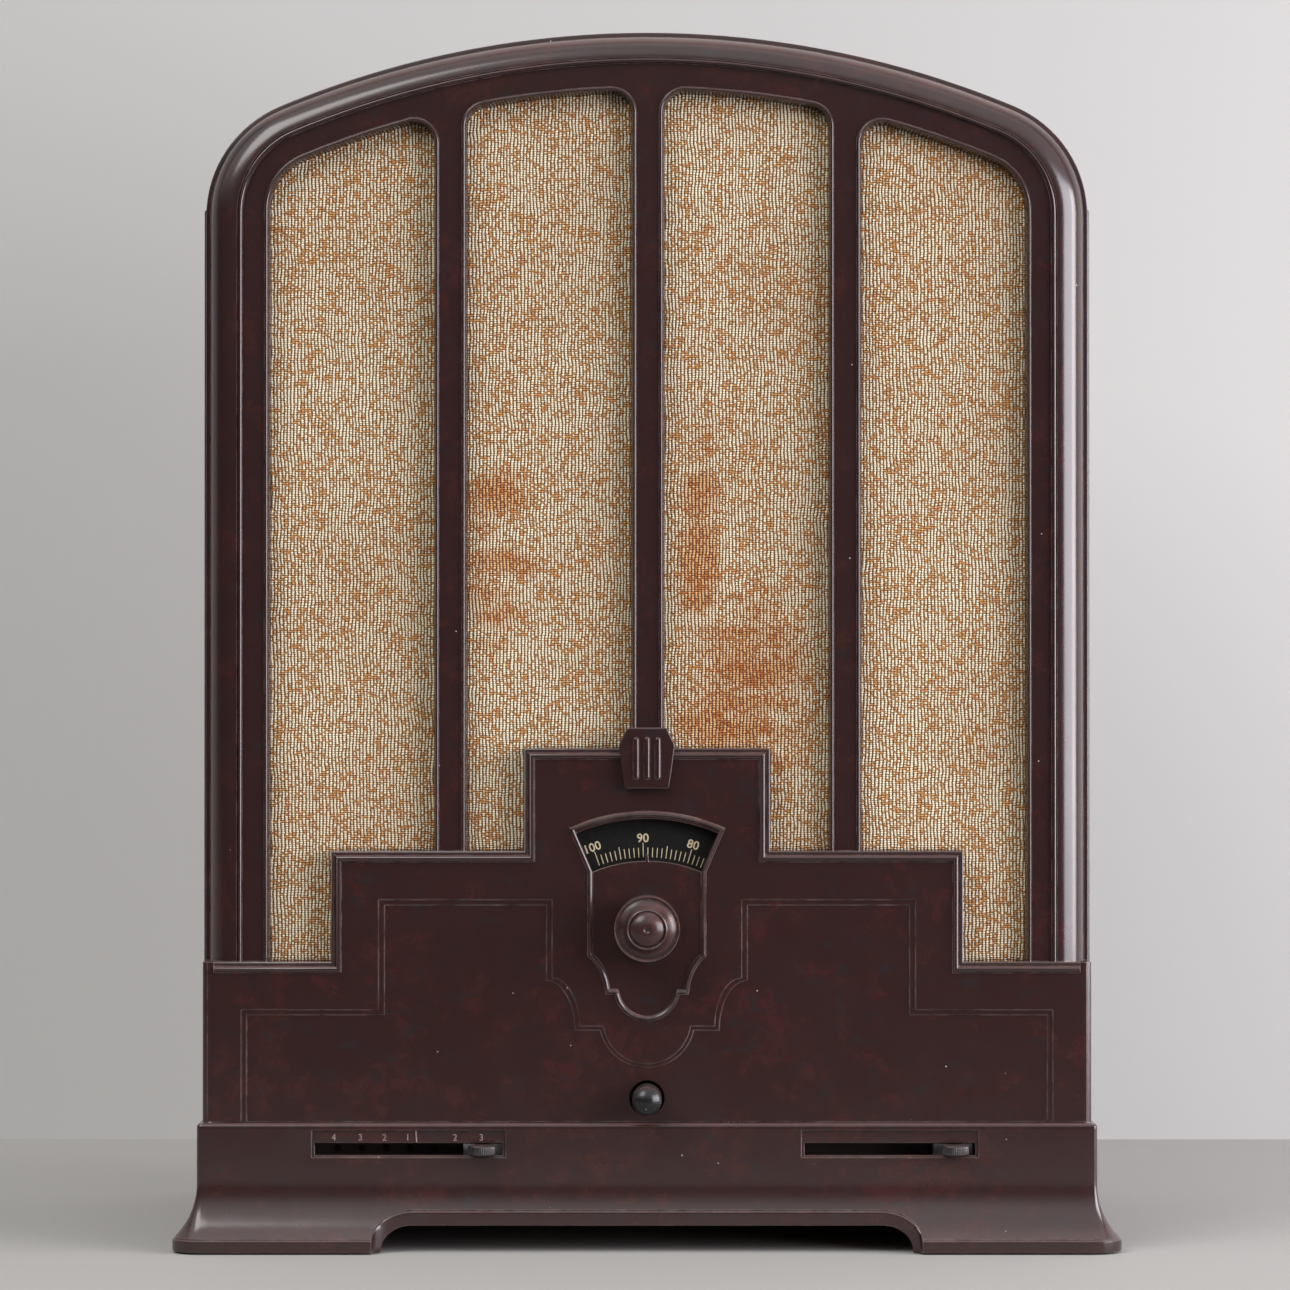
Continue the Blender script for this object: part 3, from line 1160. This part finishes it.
def weave_effect(tree, given):
    """Over the warp's number u and the weft's number v: yarn sections are the absolute sine of
    pi times u or v, and the two cross over and under by the parity of u plus v."""
    spot = put(tree, "SeparateXYZ", {"Vector": put(tree, "TexCoord", out="Object")}).node.outputs
    sway = times(less(cloud(tree, 48.0, 3.0, 0.6), 0.5), 0.0034)
    u = maths("DIVIDE", plus(spot["X"], sway), WARP_PITCH)
    v = maths("DIVIDE", plus(spot["Z"], sway), WEFT_PITCH)
    warp, weft = (maths("ABSOLUTE", maths("SINE", times(way, math.pi))) for way in (u, v))
    odd = maths("PINGPONG", plus(maths("FLOOR", u), maths("FLOOR", v)), 1.0)
    yarn = put(tree, "CombineXYZ", {"X": times(maths("FLOOR", u), 7.31), "Y": times(v, 0.42), "Z": 3.0})
    slub = put(tree, "TexNoise", {"Vector": yarn, "Scale": 1.0, "Detail": 2.0, "Roughness": 0.6})
    patch = spread(cloud(tree, 240.0, 3.0, 0.6), 0.3, 0.7, -0.06, 0.06)
    fat = spread(plus(slub, patch), 0.37, 0.52)
    over = maths("MAXIMUM", odd, times(fat, 0.85))
    warp_up = times(times(warp, plus(0.42, times(weft, 0.58))), over)
    weft_up = times(times(weft, 0.75), less(1.15, over))
    cream = mixed(fat, given["Tan"], given["Cream"])
    yarns = mixed(spread(less(warp_up, weft_up), -0.15, 0.15), given["Tan"], cream)
    top = maths("MAXIMUM", warp_up, weft_up)
    return {"Color": mixed(spread(top, 0.25, 0.7), given["Gap"], yarns), "Height": top}


weave = effect("slub_weave", {"Cream": GREY, "Tan": GREY, "Gap": GREY}, COLOUR_AND_HEIGHT, weave_effect)


def cloth_finish(tree):
    """The weave, then old stains: soft spots round three places, broken by streaky noise, and a
    faint browning with age."""
    woven = use(tree, weave, Cream=colour(255, 244, 210), Tan=colour(214, 154, 88), Gap=colour(98, 60, 30))
    spot = put(tree, "SeparateXYZ", {"Vector": put(tree, "TexCoord", out="Object")}).node.outputs
    streaks = times(less(cloud(tree, 55.0, 4.0, 0.65, (0.5, 1.0, 1.4)), 0.5), 5.0)
    shares = []
    for x, z, half_x, half_z in STAINS:
        across, up = (maths("POWER", maths("DIVIDE", less(spot[axis], middle), half), 2)
                      for axis, middle, half in (("X", x, half_x), ("Z", z, half_z)))
        shares.append(spread(less(plus(across, up), streaks), 1.1, -0.3))
    share = maths("MAXIMUM", maths("MAXIMUM", shares[0], shares[1]), shares[2])
    stained = mixed(times(share, 0.9), woven["Color"], colour(228, 178, 126), "MULTIPLY")
    age = spread(cloud(tree, 14.0, 3.0), 0.3, 0.75, 0.0, 0.22)
    return {"Base Color": mixed(age, stained, colour(196, 152, 100), "MULTIPLY"),
            "Normal": bumped(woven["Height"], 0.8, 0.0006)}


print("weave ready")

# %% Boards, papers and felt
def two_toned(pattern, dark, light, low, high, strength, distance):
    """A value that goes from a dark to a light tone, with a small bump of its own."""
    return {"Base Color": mixed(spread(pattern, low, high), colour(*dark), colour(*light)),
            "Normal": bumped(pattern, strength, distance)}


def fibrous(dark, light, strength=0.3):
    """Board, paper or felt: fibres in two tones, with a small bump."""
    def build(tree):
        stuff = use(tree, fibres, Dark=colour(*dark), Light=colour(*light))
        return {"Base Color": stuff["Color"], "Normal": bumped(stuff["Height"], strength, 0.0004)}
    return build


def veneer(tree):
    """Plywood: rings of a stretched, twisted noise between a light and a darker wood tone."""
    return two_toned(cloud(tree, 55.0, 5.0, 0.6, (1.0, 1.0, 0.12), 1.4), (196, 164, 122), (158, 120, 80),
                     0.35, 0.7, 0.2, 0.0003)


print("boards, papers and felt ready")


# %% Metals, paint, rubber, print and glass
def metal(bright, dull):
    """Metal with dull patches and a fine brushed grain."""
    def build(tree):
        skin = use(tree, tarnish, Bright=colour(*bright), Dull=colour(*dull))
        return {"Base Color": skin["Color"], "Roughness": skin["Roughness"],
                "Normal": bumped(skin["Height"], 0.08, 0.0002)}
    return build


def painted(tree):
    """Grey stoving enamel with the dimples of a hammer finish and worn edges."""
    dimple = put(tree, "TexVoronoi", {"Vector": where(tree), "Scale": 350.0}, out="Distance")
    coat = two_toned(dimple, (84, 90, 94), (104, 110, 113), 0.0, 0.7, 0.25, 0.0003)
    coat["Base Color"] = mixed(use(tree, worn_edges)["Mask"], coat["Base Color"], colour(150, 148, 142))
    return coat


def matt(dark, light, scale):
    """A matt coat with faint specks between two tones."""
    return lambda tree: two_toned(cloud(tree, scale, 4.0, 0.7), dark, light, 0.35, 0.7, 0.1, 0.0001)


def blown(tree):
    """Glass with a film of dust that is only in its roughness."""
    return {"Roughness": spread(cloud(tree, 40.0, 4.0), 0.3, 0.8, 0.02, 0.16)}


print("metals and coats ready")

# %% Table of finishes
GLOSS, ROUGH, SHEEN = "Specular IOR Level", "Roughness", "Sheen Weight"
METAL = {"Metallic": 1.0}
FINISHES = {name: finish_of(name, build, plain) for name, build, plain in (
    ("bakelite", moulding((47, 27, 26), (57, 30, 27), (43, 33, 34), 0.8, 0.2), {GLOSS: 0.72}),
    ("knob_brown", moulding((56, 35, 34), (74, 41, 36), (52, 41, 41), 0.6, 0.25), {GLOSS: 0.5}),
    ("moulded_black", moulding((22, 21, 22), (28, 26, 26), (34, 34, 36), 0.5, 0.25), {}),
    ("grille_cloth", cloth_finish, {ROUGH: 0.75, SHEEN: 0.2, GLOSS: 0.3}),
    ("fibre_board", fibrous((92, 62, 38), (142, 104, 68)), {ROUGH: 0.8}),
    ("plywood", veneer, {ROUGH: 0.65}),
    ("felt", fibrous((66, 70, 50), (104, 106, 84), 0.8), {ROUGH: 0.95, SHEEN: 0.4}),
    ("laminate", fibrous((34, 20, 13), (52, 32, 20), 0.1), {ROUGH: 0.5}),
    ("varnished_paper", fibrous((120, 52, 30), (160, 84, 50), 0.15), {ROUGH: 0.35, "Coat Weight": 0.3}),
    ("cone_paper", fibrous((44, 40, 36), (78, 72, 66), 0.6), {ROUGH: 0.9}),
    ("steel_screws", metal((168, 168, 164), (96, 92, 86)), METAL),
    ("plated_steel", metal((196, 198, 200), (140, 138, 134)), METAL),
    ("brass", metal((222, 190, 120), (150, 118, 66)), METAL),
    ("aluminium", metal((214, 216, 218), (168, 168, 166)), METAL),
    ("copper_wire", metal((196, 112, 72), (120, 62, 40)), METAL),
    ("grey_paint", painted, {ROUGH: 0.42}),
    ("dial_black", matt((12, 11, 10), (20, 18, 16), 400.0), {ROUGH: 0.6, GLOSS: 0.2}),
    ("black_rubber", matt((30, 30, 30), (48, 47, 46), 300.0), {ROUGH: 0.7}),
    ("clear_glass", blown, {"Transmission Weight": 1.0, "IOR": 1.48}),
    ("cream_print", matt((184, 168, 136), (206, 192, 160), 900.0), {ROUGH: 0.6}),
    ("pale_figures", matt((118, 100, 95), (156, 140, 132), 900.0), {ROUGH: 0.5}),
    ("dull_brass", metal((60, 48, 30), (34, 28, 20)), METAL))}
print(len(FINISHES), "finishes")

# %% Finishes onto pieces
slot_of = {part["node"]: part["material_slot"] for part in frame["record"]["subparts"]}
for name, node in NODES.items():
    finish = FINISHES["dull_brass" if name == "range_contacts" else slot_of[name]]
    if not node.material_slots:
        node.data.materials.append(finish)
    for held in node.material_slots:
        held.material = finish
for name, pieces in (("bakelite", (hood, plinth, keystone)), ("pale_figures", (figure_piece,)),
                     ("grille_cloth", (cloth,)), ("dial_black", (scale_ring,)),
                     ("cream_print", (marks, numbers)), ("knob_brown", (tuning,)),
                     ("moulded_black", (switch, *sliders)), ("felt", (feet,))):
    for piece in pieces:
        piece.data.materials.clear()
        piece.data.materials.append(FINISHES[name])
print("finishes given to", len(NODES), "CAD nodes and the new pieces")

# %% [markdown]
# ## Floor, wall and light
# A plain pale floor and wall. A wide cool window light and a narrow one stand on the right and
# draw two bright streaks down the roll; a warmer lamp hangs on the left. The table ends a
# forearm's length in front of the radio, so its flat panel mirrors a dark room and keeps its
# colour, while the camera sees a pale room there.

# %% Floor and wall
WALL_Y = 0.39
TABLE_EDGE = -0.5
ROOM_SIDE, ROOM_BACK, ROOM_HIGH = 6.0, 6.0, 5.0


def stage_sheet(name, near, far, tone):
    """A flat sheet between two level lines, each (depth, height), in a plain pale finish. Its
    back is clear, so that a camera behind the wall still sees the radio."""
    mesh = bpy.data.meshes.new(name)
    corners = [(x * ROOM_SIDE, *line) for x, line in ((-1, near), (1, near), (1, far), (-1, far))]
    mesh.from_pydata(corners, [], [(0, 1, 2, 3)])
    pale = finish_of(name, matt(tone, tone, 30.0), {ROUGH: 0.85, GLOSS: 0.2})
    tree = pale.node_tree
    one_sided = put(tree, "MixShader", {0: put(tree, "NewGeometry", out="Backfacing"),
                                        1: tree.nodes["Principled BSDF"].outputs["BSDF"],
                                        2: put(tree, "BsdfTransparent")})
    tree.links.new(one_sided, tree.nodes["Material Output"].inputs["Surface"])
    mesh.materials.append(pale)
    thing = bpy.data.objects.new(name, mesh)
    bpy.context.scene.collection.objects.link(thing)


stage_sheet("floor", (TABLE_EDGE, 0), (ROOM_BACK, 0), (168, 166, 163))
stage_sheet("backdrop", (WALL_Y, 0), (WALL_Y, ROOM_HIGH), (186, 185, 183))
print("floor and wall ready")

# %% Lights
TARGET = Vector((0.0, -0.05, 0.26))
LAMPS = {"window_near": ((1.84, -1.21, 0.55), 1.6, 1.2, 51.0, (0.94, 0.92, 1.0)),
         "lamp_left": ((-1.05, -1.35, 1.75), 1.2, 1.2, 24.0, (1.0, 0.98, 0.96)),
         "window_side": ((1.42, -0.24, 0.42), 0.36, 0.8, 9.0, (1.0, 0.97, 0.98))}
for name, (spot, width, height, power, tint) in LAMPS.items():
    data = bpy.data.lights.new(name, "AREA")
    data.shape, data.size, data.size_y = "RECTANGLE", width, height
    data.energy, data.color = power, tint
    lamp = bpy.data.objects.new(name, data)
    bpy.context.scene.collection.objects.link(lamp)
    lamp.location = spot
    lamp.rotation_euler = (TARGET - Vector(spot)).to_track_quat("-Z", "Y").to_euler()
print("lamps", list(LAMPS))

# %% Room
world = bpy.data.worlds.new("room")
bpy.context.scene.world = world
world.use_nodes = True
room = world.node_tree
lit = room.nodes["Background"]
upward = put(room, "SeparateXYZ", {"Vector": put(room, "TexCoord", out="Generated")}, out="Z")
fill(room, lit.inputs, {"Color": (0.97, 0.98, 1.0, 1.0),
                        "Strength": spread(upward, 0.1, 0.6, 0.05, 1.05)})
shown = put(room, "MixShader", {0: put(room, "LightPath", out="Is Camera Ray"),
                                1: lit.outputs["Background"],
                                2: put(room, "Background", {"Color": colour(203, 202, 201)})})
room.links.new(shown, room.nodes["World Output"].inputs["Surface"])
bpy.context.scene.view_settings.view_transform = "Standard"
print("world", world.name)
